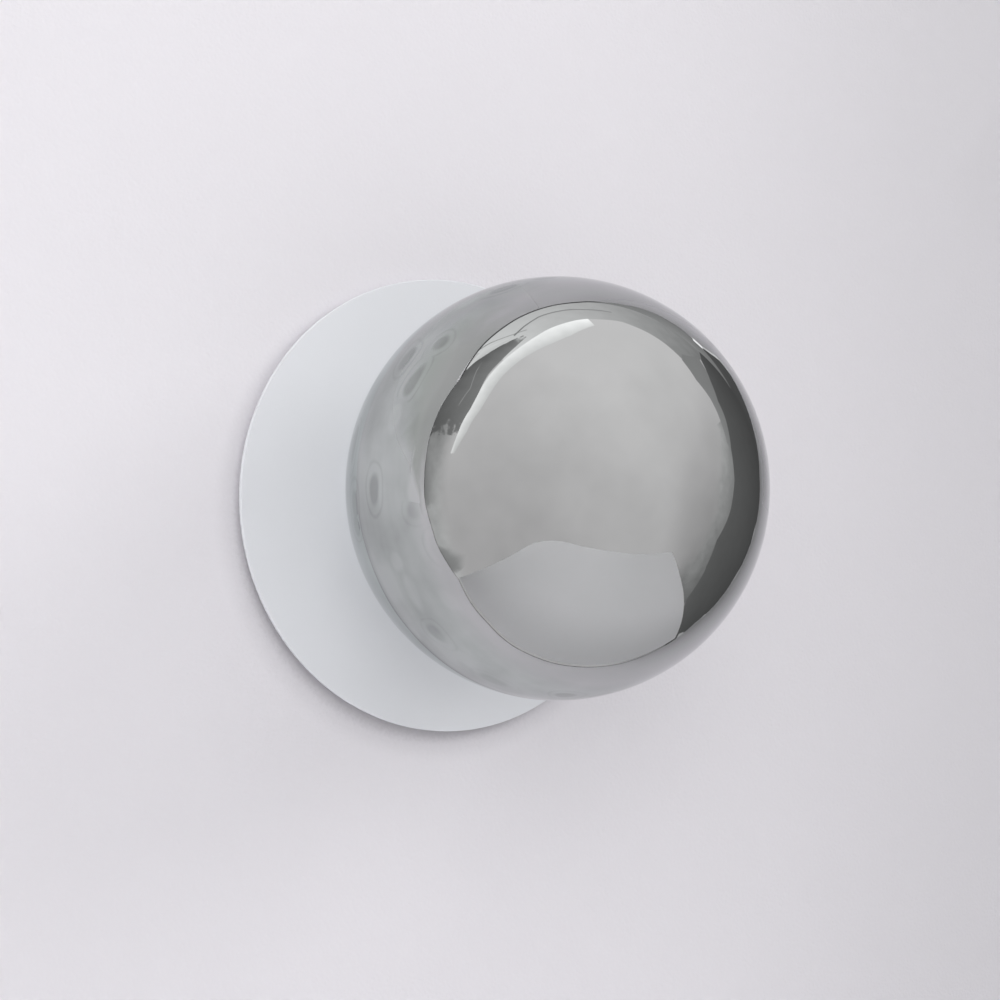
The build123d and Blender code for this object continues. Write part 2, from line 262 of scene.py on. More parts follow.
def frosted_cover():
    """Clear bulb cover with a light frost that is denser in patches."""
    look = Look("frosted_cover")
    frost = look.noise(700.0, 3.0)
    patch = look.noise(70.0, 2.0)
    look.set(base_color=look.mix(patch, (0.90, 0.91, 0.92), (0.97, 0.98, 0.98)), roughness=0.16 + 0.2 * frost)
    look.set(transmission_weight=0.94, ior=1.49)
    look.bump(frost, 0.00006, 0.4)
    return look.material


def solder_mask():
    """White solder mask: a satin coat with the weave of the glass cloth showing through."""
    look = Look("white_solder_mask")
    cloth = {"Vector": look.place(), "Scale": 520.0}
    across, along = (look.node("ShaderNodeTexWave", cloth, 1, bands_direction=axis) for axis in "XY")
    weave = across * along
    look.set(base_color=look.mix(weave, (0.80, 0.81, 0.80), (0.87, 0.88, 0.87)), roughness=0.32 + 0.1 * weave)
    look.bump(weave, 0.00004, 0.4)
    return look.material


def only(obj):
    """Select one object and make it the active one."""
    bpy.ops.object.select_all(action="DESELECT")
    obj.select_set(True)
    bpy.context.view_layer.objects.active = obj


def new_piece(name):
    """Take the primitive that was just added, name it and settle its place into its mesh."""
    obj = bpy.context.object
    obj.name = name
    obj.data.name = name
    only(obj)
    bpy.ops.object.transform_apply(location=True, rotation=True, scale=True)
    return obj


def level(depth, *places):
    """Tell whether all places lie at one depth."""
    return all(abs(place.y - depth) < CLOSE for place in places)


def select_edges(obj, wanted):
    """In edit mode, select the edges whose two ends satisfy a test."""
    bpy.ops.mesh.select_mode(type="EDGE")
    bpy.ops.mesh.select_all(action="DESELECT")
    mesh = bmesh.from_edit_mesh(obj.data)
    for edge in mesh.edges:
        edge.select_set(wanted(*(corner.co for corner in edge.verts)))
    bmesh.update_edit_mesh(obj.data)


def apply_modifier(obj, kind, **settings):
    """Add a modifier, set it up and apply it."""
    only(obj)
    modifier = obj.modifiers.new(kind.title(), kind)
    for name, setting in settings.items():
        setattr(modifier, name, setting)
    bpy.ops.object.modifier_apply(modifier=modifier.name)


def paint(obj, material):
    """Give every material slot of an object one material."""
    if not obj.material_slots:
        obj.data.materials.append(material)
    for slot in obj.material_slots:
        slot.material = material


def dress(material, *nodes):
    """Paint CAD nodes, which stay as they are in shape and place."""
    for name in nodes:
        paint(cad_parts[name], material)


class BallSettings(bpy.types.PropertyGroup):
    """Sizes of the glass ball that the frame's box doesn't give."""

    wall: bpy.props.FloatProperty(
        name="Wall", description="Thickness of the glass", default=0.003, unit="LENGTH"
    )
    neck_radius: bpy.props.FloatProperty(
        name="Neck Radius", description="Outer radius of the screw neck", default=0.039, unit="LENGTH"
    )
    shoulder: bpy.props.FloatProperty(
        name="Shoulder", description="Width of the plain ring round the neck's root", default=0.0035,
        unit="LENGTH",
    )
    root_bevel: bpy.props.FloatProperty(
        name="Root Bevel", description="Width of the round where the neck leaves the ball", default=0.00225,
        unit="LENGTH",
    )
    rim_bevel: bpy.props.FloatProperty(
        name="Rim Bevel", description="Width of the fire-polished round on the rim", default=0.0011,
        unit="LENGTH",
    )
    segments: bpy.props.IntProperty(
        name="Segments", description="Faces round the ball", default=192, min=48, max=256
    )


class ThreadSettings(bpy.types.PropertyGroup):
    """The round thread on the neck and in the collar."""

    lead: bpy.props.FloatProperty(
        name="Lead", description="Travel of the ball in one turn", default=0.005, unit="LENGTH"
    )
    height: bpy.props.FloatProperty(
        name="Height", description="How far each thread stands out of its wall", default=0.00045,
        unit="LENGTH",
    )
    half_width: bpy.props.FloatProperty(
        name="Half Width", description="Half the width of the thread at its root", default=0.0008,
        unit="LENGTH",
    )
    start: bpy.props.FloatProperty(
        name="Start", description="Where the thread starts, measured from the wall", default=0.0124,
        unit="LENGTH",
    )
    collar_bore: bpy.props.FloatProperty(
        name="Collar Bore", description="Inner radius of the collar", default=0.0396, unit="LENGTH"
    )


class FinishSettings(bpy.types.PropertyGroup):
    """Colours and surface of the two finishes that show most."""

    paint: bpy.props.FloatVectorProperty(
        name="Paint", description="Colour of the powder coat", default=(0.818, 0.838, 0.864), subtype="COLOR"
    )
    silver: bpy.props.FloatVectorProperty(
        name="Silver", description="Share of the light that the silvering returns",
        default=(0.529, 0.537, 0.537), subtype="COLOR",
    )
    wave_scale: bpy.props.FloatProperty(
        name="Wave Scale", description="Waves in the glass per metre", default=38.0
    )
    wave_depth: bpy.props.FloatProperty(
        name="Wave Depth", description="Depth of the waves in the glass", default=0.00028, unit="LENGTH",
        precision=5,
    )


class StudioSettings(bpy.types.PropertyGroup):
    """Camera and lights."""

    camera: bpy.props.FloatVectorProperty(
        name="Camera", description="Where the camera stands", default=(-0.29788, -0.549, -0.05016),
        subtype="TRANSLATION",
    )
    forward: bpy.props.FloatVectorProperty(
        name="Forward", description="Which way the camera looks", default=(0.50338, 0.8601, 0.0827),
        subtype="DIRECTION",
    )
    lens: bpy.props.FloatProperty(
        name="Lens", description="Focal length on a 36 mm wide sensor, in mm", default=56.3
    )
    key: bpy.props.FloatProperty(
        name="Key", description="Power of the soft light at the left of the camera", default=7.7,
        subtype="POWER",
    )
    rake: bpy.props.FloatProperty(
        name="Rake", description="Power of the light at the upper right, which casts the shadows",
        default=15.0, subtype="POWER",
    )
    top: bpy.props.FloatProperty(
        name="Top", description="Power of the broad light above the camera", default=4.0, subtype="POWER"
    )
    room: bpy.props.FloatProperty(
        name="Room", description="Brightness of the room all round", default=0.27
    )


class LampSettings(bpy.types.PropertyGroup):
    """All settings of the wall lamp."""

    ball: bpy.props.PointerProperty(name="Ball", description="Glass ball", type=BallSettings)
    thread: bpy.props.PointerProperty(name="Thread", description="Screw thread", type=ThreadSettings)
    finish: bpy.props.PointerProperty(name="Finish", description="Main finishes", type=FinishSettings)
    studio: bpy.props.PointerProperty(name="Studio", description="Camera and lights", type=StudioSettings)


class WALLLAMP_OT_glass_ball(bpy.types.Operator):
    """Model the silvered glass ball with its open screw neck"""

    bl_idname = "walllamp.glass_ball"
    bl_label = "Glass Ball"

    def execute(self, context):
        size = context.scene.wall_lamp.ball
        low, high = (Vector(corner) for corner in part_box("glass_globe"))
        radius = (high.x - low.x) / 2
        middle = low.y + radius
        shoulder_radius = size.neck_radius + size.shoulder
        shoulder = middle + (radius**2 - shoulder_radius**2) ** 0.5
        root = middle + (radius**2 - size.neck_radius**2) ** 0.5
        narrowing = size.neck_radius / shoulder_radius
        bpy.ops.object.select_all(action="DESELECT")
        bpy.ops.mesh.primitive_uv_sphere_add(
            segments=size.segments, ring_count=size.segments // 2, radius=radius,
            location=(0, middle, 0), rotation=(radians(90), 0, 0),
        )
        ball = new_piece("silvered_ball")
        bpy.ops.object.mode_set(mode="EDIT")
        bpy.ops.mesh.select_all(action="SELECT")
        bpy.ops.mesh.bisect(plane_co=(0, shoulder, 0), plane_no=(0, 1, 0), clear_outer=True)
        bpy.ops.mesh.extrude_edges_move(TRANSFORM_OT_translate={"value": (0, root - shoulder, 0)})
        bpy.ops.transform.resize(value=(narrowing, 1, narrowing))
        bpy.ops.mesh.extrude_edges_move(TRANSFORM_OT_translate={"value": (0, high.y - root, 0)})
        select_edges(ball, lambda one, two: level(root, one, two))
        bpy.ops.mesh.bevel(offset=size.root_bevel, segments=6, affect="EDGES")
        bpy.ops.mesh.select_all(action="SELECT")
        bpy.ops.mesh.normals_make_consistent(inside=False)
        bpy.ops.object.mode_set(mode="OBJECT")
        apply_modifier(ball, "SOLIDIFY", thickness=size.wall, offset=-1.0, use_even_offset=True, use_rim=True)
        bpy.ops.object.mode_set(mode="EDIT")
        # The rim's edges that run round it, and not those that cross it from the outer to the inner wall.
        half_wall = size.wall / 2
        select_edges(
            ball, lambda one, two: level(high.y, one, two) and abs(one.length - two.length) <= half_wall
        )
        bpy.ops.mesh.bevel(offset=size.rim_bevel, segments=4, affect="EDGES")
        bpy.ops.mesh.select_all(action="SELECT")
        bpy.ops.mesh.normals_make_consistent(inside=False)
        bpy.ops.object.mode_set(mode="OBJECT")
        bpy.ops.object.shade_smooth()
        paint(ball, mirror_glass(context.scene.wall_lamp.finish))
        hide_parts("glass_globe")
        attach(ball, "globe")
        return {"FINISHED"}


def thread_ridge(name, side, size):
    """Wind one turn of a round ridge about the lamp's axis, starting at one side, and close its ends."""
    bpy.ops.object.select_all(action="DESELECT")
    bpy.ops.mesh.primitive_circle_add(vertices=14, radius=1.0, location=(0, 0, 0))
    bpy.ops.object.mode_set(mode="EDIT")
    bpy.ops.mesh.select_all(action="SELECT")
    bpy.ops.transform.resize(value=(size.height, size.half_width, 1.0))
    bpy.ops.transform.translate(value=(side, -size.start, 0.0))
    bpy.ops.object.mode_set(mode="OBJECT")
    ridge = new_piece(name)
    apply_modifier(
        ridge, "SCREW", axis="Y", angle=radians(360.0), screw_offset=size.lead, steps=96, render_steps=96,
        use_smooth_shade=True, use_merge_vertices=False,
    )
    bpy.ops.object.mode_set(mode="EDIT")
    bpy.ops.mesh.select_mode(type="EDGE")
    bpy.ops.mesh.select_all(action="DESELECT")
    bpy.ops.mesh.select_non_manifold()
    bpy.ops.mesh.fill_holes(sides=0)
    bpy.ops.mesh.select_all(action="SELECT")
    bpy.ops.mesh.normals_make_consistent(inside=False)
    bpy.ops.object.mode_set(mode="OBJECT")
    return ridge


class WALLLAMP_OT_threads(bpy.types.Operator):
    """Wind the round thread on the ball's neck and the one in the collar between its turns"""

    bl_idname = "walllamp.threads"
    bl_label = "Screw Threads"

    def execute(self, context):
        lamp = context.scene.wall_lamp
        size = lamp.thread
        neck = thread_ridge("neck_thread", lamp.ball.neck_radius, size)
        paint(neck, bpy.data.objects["silvered_ball"].material_slots[0].material)
        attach(neck, "globe")
        collar = thread_ridge("collar_thread", -size.collar_bore, size)
        paint(collar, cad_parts["globe_collar"].material_slots[0].material)
        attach(collar, "fixture")
        return {"FINISHED"}


class WALLLAMP_OT_metalwork(bpy.types.Operator):
    """Finish the plate, collar, cup, fasteners, gasket and foam"""

    bl_idname = "walllamp.metalwork"
    bl_label = "Metalwork"

    def execute(self, context):
        finish = context.scene.wall_lamp.finish
        dress(powder_coat(finish), "back_plate", "globe_collar", "cover_cup")
        zinc = metal(
            "zinc_plated_steel", (0.50, 0.52, 0.55), (0.68, 0.69, 0.69), rough=0.26, drawn=(1.0, 0.06, 1.0)
        )
        dress(zinc, "collar_screws", "cup_screws", "block_screws", "terminal_screws", "lampholder_screws")
        dress(zinc, "lampholder_nuts", "bulb_pins", "earth_strap")
        brass = metal(
            "turned_brass", (0.58, 0.40, 0.14), (0.80, 0.62, 0.28), rough=0.22, drawn=(1.0, 1.0, 0.05)
        )
        dress(brass, "terminal_clamps", "lampholder_contacts", "earth_screw")
        dress(foam(), "backing_disc")
        silicone = moulded(
            "translucent_silicone", (0.66, 0.66, 0.65), (0.76, 0.76, 0.75), rough=0.36, grain=1100.0,
            depth=0.00006, subsurface_weight=0.3, subsurface_scale=0.002,
        )
        dress(silicone, "neck_gasket")
        rubber = moulded(
            "black_rubber", (0.011, 0.011, 0.011), (0.024, 0.024, 0.025), rough=0.55, grain=1300.0,
            depth=0.0001,
        )
        dress(rubber, "cable_bush")
        return {"FINISHED"}


class WALLLAMP_OT_wiring(bpy.types.Operator):
    """Finish the terminal block, leads and lampholder"""

    bl_idname = "walllamp.wiring"
    bl_label = "Wiring"

    def execute(self, context):
        nylon = moulded(
            "terminal_nylon", (0.70, 0.69, 0.63), (0.80, 0.79, 0.74), rough=0.38, grain=900.0,
            depth=0.00008, subsurface_weight=0.15, subsurface_scale=0.0015,
        )
        dress(nylon, "terminal_block")
        steatite = moulded(
            "steatite", (0.74, 0.72, 0.66), (0.84, 0.82, 0.77), rough=0.52, grain=1600.0, depth=0.0001
        )
        dress(steatite, "lampholder")
        sheath = {"rough": 0.42, "grain": 1400.0, "depth": 0.00006}
        dress(moulded("brown_lead", (0.075, 0.027, 0.011), (0.115, 0.045, 0.020), **sheath), "live_lead")
        dress(moulded("blue_lead", (0.012, 0.045, 0.21), (0.022, 0.070, 0.30), **sheath), "neutral_lead")
        return {"FINISHED"}


class WALLLAMP_OT_light_source(bpy.types.Operator):
    """Finish the plug-in light source"""

    bl_idname = "walllamp.light_source"
    bl_label = "Light Source"

    def execute(self, context):
        shell = moulded(
            "bulb_shell", (0.78, 0.78, 0.76), (0.86, 0.86, 0.84), rough=0.40, grain=1000.0, depth=0.00008
        )
        dress(shell, "bulb_base")
        dress(frosted_cover(), "bulb_cover")
        dress(solder_mask(), "bulb_board")
        phosphor = moulded(
            "phosphor", (0.80, 0.56, 0.06), (0.88, 0.68, 0.14), rough=0.55, grain=2600.0, depth=0.0001
        )
        dress(phosphor, "bulb_chips")
        return {"FINISHED"}


# The stage, in metres. The wall is at depth 0 and the room in front of it at depths below 0.
WALL_LEFT = -0.47
WALL_RIGHT = 0.6
WALL_BOTTOM = -0.42
WALL_TOP = 0.5
WALL_DEPTH = 0.0003
FLOOR_WIDTH = 3.0
FLOOR_HEIGHT = -0.432
TABLE_WIDTH = 0.955
TABLE_LENGTH = 0.7
TABLE_HEIGHT = -0.428
TABLE_CORNER = 0.2
BALL_CENTRE = Vector((0, -0.08, 0))
ROOM_RADIUS = 2.2
PANEL_DISTANCE = 1.6
# Centre and inner reach of the contact shadow painted on the wall round the plate.
PAINTED_SHADOW_CENTRE = (-0.002, WALL_DEPTH, -0.0055)
PAINTED_SHADOW_START = 0.0845

# Depths of what lies in front of the wall board, one before the other.
SHADE_DEPTH = -0.0004
STRIP_DEPTH = -0.0005
UPPER_DEPTH = -0.0007
FAN_DEPTH = -0.0012

# Brightness of the shades on the wall, and colours of the lights.
SHADE_LEVEL = 0.26
SOFT_TINT = (1.0, 0.985, 1.0)
RAKE_TINT = (1.0, 0.985, 0.99)

SENSOR_WIDTH_MM = 36.0

# Panels round the ball. A station has a compass angle, counted from the right over the top, and one or
# two angles off the wall's normal, in degrees.
BEHIND_WALL = 108
DARK_DOORWAY = (
    (37, 101), (38, 92), (34, 85), (29, 79), (23, 77), (14, 73), (4, 73), (-6, 71), (-19, 67), (-30, 71),
    (-40, 77), (-44, 88),
)
LOWER_WALL = ((-3, 102), (-8, 99), (-12, 97), (-22, 95), (-29, 93.5), (-37, 93), (-40, 97))
GREY_JAMB = ((46, 80, 93), (40, 75, 93), (32, 74, 84), (25, 72, 80), (14, 70, 76), (6, 70, 76))
GREY_SCREEN = (
    (24, 66, 74), (14, 60, 76), (3, 55, 76), (-9, 57, 75), (-23, 57, 72), (-45, 55, 80), (-48, 65, 92),
)
GREY_LINTEL = ((36, 97), (44, 80), (56, 85), (66, 89), (78, 89), (95, 87), (109, 85), (119, 85))
LINTEL_LINE = ((106, 93), (100, 95), (92, 97), (86, 97), (79, 97), (72, 96), (67, 95))
DARK_CORNER = (
    (104, 88.5, 90.5), (111, 87, 92.5), (115, 86.5, 94), (120, 86, 96), (128, 86, 100), (136, 85, 105),
    (144, 84, BEHIND_WALL), (150, 85, BEHIND_WALL), (154, 86, BEHIND_WALL), (159, 87, BEHIND_WALL),
)
CORNER_STREAK = ((108, 92.5, 93.5), (113, 93.5, 96.5), (117, 95, 99), (121, 97, 99.5), (128, 99, 99.5))
CORNER_LINE = ((119, 101.5), (113, 99), (110, 97), (106, 94.5), (101, 92))
CORNER_SPLIT = ((123, 94), (128, 93), (137, 90), (142, 91), (146, 92))
LEFT_POST = ((150, 86), (159, 87), (168, 87), (180, 88), (195, 90), (222, 92))
POST_SHADE = ((163, 99), (170, 97), (178, 95.5), (186, 96), (194, 99))
TABLE_KNOT = ((205, 99, 103), (209, 93, 103), (213, 87.5, 102), (217, 90, 102), (220, 97, 102))
WHITE_STRIP = (
    (167, 86.5, 88.5), (157, 81.5, 86.5), (146, 79, 84.5), (128, 78.5, 85), (115, 78.5, 85), (100, 78, 86),
    (90, 79.5, 87.5), (83, 82, 88.5), (78, 84, 89),
)
BRIGHT_SPOT = ((41, 98, 100), (38, 98, 100))

# Panels in front of the wall board, in places to the right and up.
LINTEL_FAN = (
    (0.17, 0.49), (0.22, 0.42), (0.23, 0.345), (0.255, 0.31), (0.29, 0.285), (0.37, 0.295), (0.6, 0.3),
)
DOORWAY_GLEAM = ((0.37, 0.295), (0.33, 0.23), (0.285, 0.175), (0.295, 0.155))
DOORWAY_FAN = (*DOORWAY_GLEAM, (0.42, 0.13), (0.5, 0.1), (0.6, 0.06))
LEFT_SHADE = (
    (0.02, 0.13), (-0.06, 0.11), (-0.12, 0.08), (-0.19, 0.06), (-0.28, 0.04), (-0.36, -0.04), (-0.38, -0.12),
)
LEFT_RIM = (
    (0.0, 0.46), (-0.14, 0.465), (-0.3, 0.465), (-0.455, 0.42), (-0.455, 0.25), (-0.455, 0.08),
    (-0.455, -0.1),
)


def stage_plane(name, width, height, location, rotation, material):
    """Add a flat stage piece."""
    bpy.ops.object.select_all(action="DESELECT")
    bpy.ops.mesh.primitive_plane_add(size=1.0, location=location, rotation=rotation)
    bpy.context.object.scale = (width, height, 1.0)
    plane = new_piece(name)
    paint(plane, material)
    return plane


def plaster():
    """Pale smooth plaster with painted shade that darkens it to the right and a painted contact shadow round
    the plate, clear from behind.
    """
    look = Look("pale_plaster")
    fine = look.noise(760.0, 3.0)
    clouds = look.noise(2.2, 2.0)
    pale = look.mix(clouds, (0.80, 0.785, 0.815), (0.845, 0.83, 0.86))
    # Painted shade that darkens the plaster towards the right.
    pale = look.mix(look.span(look.axis("X"), 0.04, 0.34), pale, (0.685, 0.675, 0.70))
    # Painted contact shadow: a dark fringe round the plate, widest at its lower left.
    ends = {0: look.place(), 1: PAINTED_SHADOW_CENTRE}
    reach = look.node("ShaderNodeVectorMath", ends, "Value", operation="DISTANCE") + 0.002 * (fine - 0.5)
    tight_painted_shadow = look.span(reach, PAINTED_SHADOW_START, 0.0905, 0.33, 0.0)
    wide_painted_shadow = look.span(reach, PAINTED_SHADOW_START, 0.098, 0.28, 0.0)
    look.set(base_color=look.mix(tight_painted_shadow + wide_painted_shadow, pale, (0.26, 0.25, 0.27)), roughness=0.72 + 0.1 * fine)
    look.bump(fine, 0.0006, 0.4)
    behind = look.node("ShaderNodeNewGeometry", output="Backfacing")
    clear = look.node("ShaderNodeBsdfTransparent")
    shown = look.node("ShaderNodeMixShader", {0: behind, 1: Value(look, look.surface.outputs[0]), 2: clear})
    look.feed(look.output.inputs["Surface"], shown)
    return look.material


def pale_surface(name, left, right, painted_wall_shade=0.0):
    """Pale floor or table with a faint grain, with painted shade that changes it from left to right and
    darkens it towards the wall.
    """
    look = Look(name)
    grain = look.noise(160.0, 3.0)
    across = look.span(look.axis("X"), -0.45, 0.05)
    inward = look.span(look.axis("Y"), -0.3, -0.05)
    # Painted shade from the left to the right, broken by the grain.
    pale = look.mix(across + 0.2 * (grain - 0.5), left, right)
    # Painted shade towards the wall.
    look.set(base_color=look.mix(painted_wall_shade * inward, pale, BLACK), roughness=0.6 + 0.15 * grain)
    look.bump(grain, 0.0003, 0.3)
    return look.material


def glow(name, start, end, soft_ends=0.0, soft_edge=0.0, ragged=0.6):
    """A panel's light: its levels on the near and the far edge, at its start and at its end."""
    look = Look(name)
    along = look.axis("X", "UV") + ragged * (look.noise(9.0, 3.0) - 0.5)
    across = look.axis("Y", "UV")
    first, last = (look.mix(across, grey(near), grey(far)) for near, far in (start, end))
    look.shine(look.mix(along, first, last))
    fade = 1.0
    if soft_ends:
        fade = look.span(along, 0.0, soft_ends) * look.span(along, 1.0 - soft_ends, 1.0, 1.0, 0.0)
    if soft_edge:
        fade = fade * look.span(across, 0.0, soft_edge)
    look.set(alpha=fade)
    return look.material


def shade(name, share):
    """A dim panel that is clear at its start and covers a share of what lies behind it at its end."""
    look = Look(name)
    look.shine(look.mix(look.noise(9.0), grey(0.9 * SHADE_LEVEL), grey(1.1 * SHADE_LEVEL)))
    look.set(alpha=share * look.span(look.axis("X", "UV"), 0.0, 1.0))
    return look.material


def only_mirrored(obj):
    """Show a stage piece in the glass alone."""
    obj.visible_camera = False
    obj.visible_diffuse = False
    obj.visible_shadow = False
    obj.visible_transmission = False


def bent_panel(name, near, far, material):
    """Add a panel between two edges with as many points each, from their first to their last points."""
    bpy.ops.object.select_all(action="DESELECT")
    bpy.ops.mesh.primitive_grid_add(x_subdivisions=len(near) - 1, y_subdivisions=1, size=1.0)
    panel = bpy.context.object
    panel.name = name
    for corner, place in zip(panel.data.vertices, (*near, *far)):
        corner.co = place
    paint(panel, material)
    only_mirrored(panel)


def reflector(name, stations, material, distance=PANEL_DISTANCE):
    """Add a panel round the ball, from stations with two angles off the wall's normal."""
    edges = ([], [])
    for compass, *leans in stations:
        turn = radians(compass)
        for edge, lean in zip(edges, leans):
            across = distance * sin(radians(lean))
            forward = distance * cos(radians(lean))
            edge.append(BALL_CENTRE + Vector((across * cos(turn), -forward, across * sin(turn))))
    bent_panel(name, *edges, material)


def ribbon(route, width):
    """Stations of a thin line, with its width in degrees."""
    return [(compass, lean, lean + width) for compass, lean in route]


def to_wall(route):
    """Stations of a panel that reaches behind the wall board's edge."""
    return [(compass, lean, BEHIND_WALL) for compass, lean in route]


def wall_panel(name, near, far, material, depth=FAN_DEPTH):
    """Add a panel in front of the wall board, between two edges."""
    edges = ([(right, depth, up) for right, up in edge] for edge in (near, far))
    bent_panel(name, *edges, material)


def wall_fan(name, tip, rim, material):
    """Add a panel in front of the wall board, between a rim and one tip."""
    wall_panel(name, rim, [tip] * len(rim), material)


def wall_line(name, route, width, material):
    """Add a thin line in front of the wall board, to the left of a route."""
    wall_panel(name, route, [(right - width, up) for right, up in route], material)


def wall_strip(name, left, right, bottom, top, material, depth=STRIP_DEPTH):
    """Add a rectangle in front of the wall board, from left to right."""
    wall_panel(name, ((left, bottom), (right, bottom)), ((left, top), (right, top)), material, depth)


def room_dome():
    """Add the room that the glass mirrors: brighter above, darker at both sides, most at the lower right."""
    bpy.ops.object.select_all(action="DESELECT")
    bpy.ops.mesh.primitive_uv_sphere_add(segments=48, ring_count=24, radius=1.0, location=BALL_CENTRE)
    dome = bpy.context.object
    dome.name = "room_dome"
    # The scale stays on the dome, so that its material's coordinates run from -1 to 1.
    dome.scale = (ROOM_RADIUS, ROOM_RADIUS, ROOM_RADIUS)
    look = Look("room_dome")
    right = look.axis("X")
    up = look.axis("Z")
    dim = 0.3 * (look.span(right, 0.35, 0.95) * (1.0 - up)) + look.span(right, -1.0, 0.0, 0.12, 0.0)
    light = 0.86 + 0.17 * up - dim + 0.16 * (look.noise(2.6, 2.0) - 0.5)
    look.shine(look.mix(light, BLACK, (1.02, 1.0, 1.005)))
    paint(dome, look.material)
    only_mirrored(dome)
    dome.visible_camera = True


def wall_and_floor():
    """Add the wall board behind the lamp, and the floor, which the glass doesn't mirror."""
    middle = ((WALL_LEFT + WALL_RIGHT) / 2, WALL_DEPTH, (WALL_BOTTOM + WALL_TOP) / 2)
    upright = (radians(90), 0, 0)
    wall = stage_plane(
        "wall_board", WALL_RIGHT - WALL_LEFT, WALL_TOP - WALL_BOTTOM, middle, upright, plaster()
    )
    wall.visible_shadow = False
    pale = pale_surface("pale_floor", (0.86, 0.86, 0.87), (0.90, 0.90, 0.91))
    floor = stage_plane("floor", FLOOR_WIDTH, FLOOR_WIDTH, (0, -1.0, FLOOR_HEIGHT), (0, 0, 0), pale)
    floor.visible_glossy = False


def table_top():
    """Add the table that the glass mirrors, with its left front corner cut round."""
    pale = pale_surface("pale_table", (0.84, 0.84, 0.85), (0.97, 0.97, 0.98), painted_wall_shade=0.21)
    middle = Vector((-0.0125, -0.362, TABLE_HEIGHT))
    table = stage_plane("table_top", TABLE_WIDTH, TABLE_LENGTH, middle, (0, 0, 0), pale)
    bpy.ops.object.mode_set(mode="EDIT")
    bpy.ops.mesh.select_mode(type="VERT")
    bpy.ops.mesh.select_all(action="DESELECT")
    mesh = bmesh.from_edit_mesh(table.data)
    for corner in mesh.verts:
        corner.select_set(corner.co.x < middle.x and corner.co.y < middle.y)
    bpy.ops.mesh.bevel(offset=TABLE_CORNER, segments=5, affect="VERTICES")
    bpy.ops.object.mode_set(mode="OBJECT")
    only_mirrored(table)


def mirrored_wall():
    """Add the wall board's dark edges and the shades on it that the glass mirrors."""
    dark = glow("dark_edge", (0.07, 0.07), (0.07, 0.07))
    wall_strip("edge_left", WALL_LEFT, -0.462, WALL_BOTTOM, WALL_TOP, dark)
    wall_strip("edge_right", 0.588, WALL_RIGHT, -0.06, WALL_TOP, dark)
    wall_strip("edge_top", WALL_LEFT, WALL_RIGHT, 0.47, WALL_TOP, dark)
    wall_strip("edge_bottom", WALL_LEFT, 0.45, TABLE_HEIGHT, -0.418, dark)
    wall_strip("edge_shade", 0.168, 0.588, WALL_BOTTOM, WALL_TOP, shade("edge_shade", 0.74), SHADE_DEPTH)
    left_side = ((-0.3, 0.0), (-0.3, 0.49))
    right_side = ((0.4, 0.0), (0.4, 0.49))
    wall_panel("upper_shade", left_side, right_side, shade("upper_shade", 0.3), UPPER_DEPTH)
    wall_fan("lintel_fan", (0.6, 0.5), LINTEL_FAN, glow("lintel_fan", (0.40, 0.5), (0.30, 0.42)))
    wall_fan("doorway_fan", (0.6, 0.3), DOORWAY_FAN, glow("doorway_fan", (0.14, 0.14), (0.10, 0.10)))
    wall_line("doorway_gleam", DOORWAY_GLEAM, 0.012, glow("doorway_gleam", (1.1, 1.1), (0.8, 0.8)))
    soft = glow("left_shade", (0.66, 0.62), (0.64, 0.6), soft_ends=0.3, soft_edge=0.25, ragged=0.2)
    wall_panel("left_shade", LEFT_SHADE, LEFT_RIM, soft)


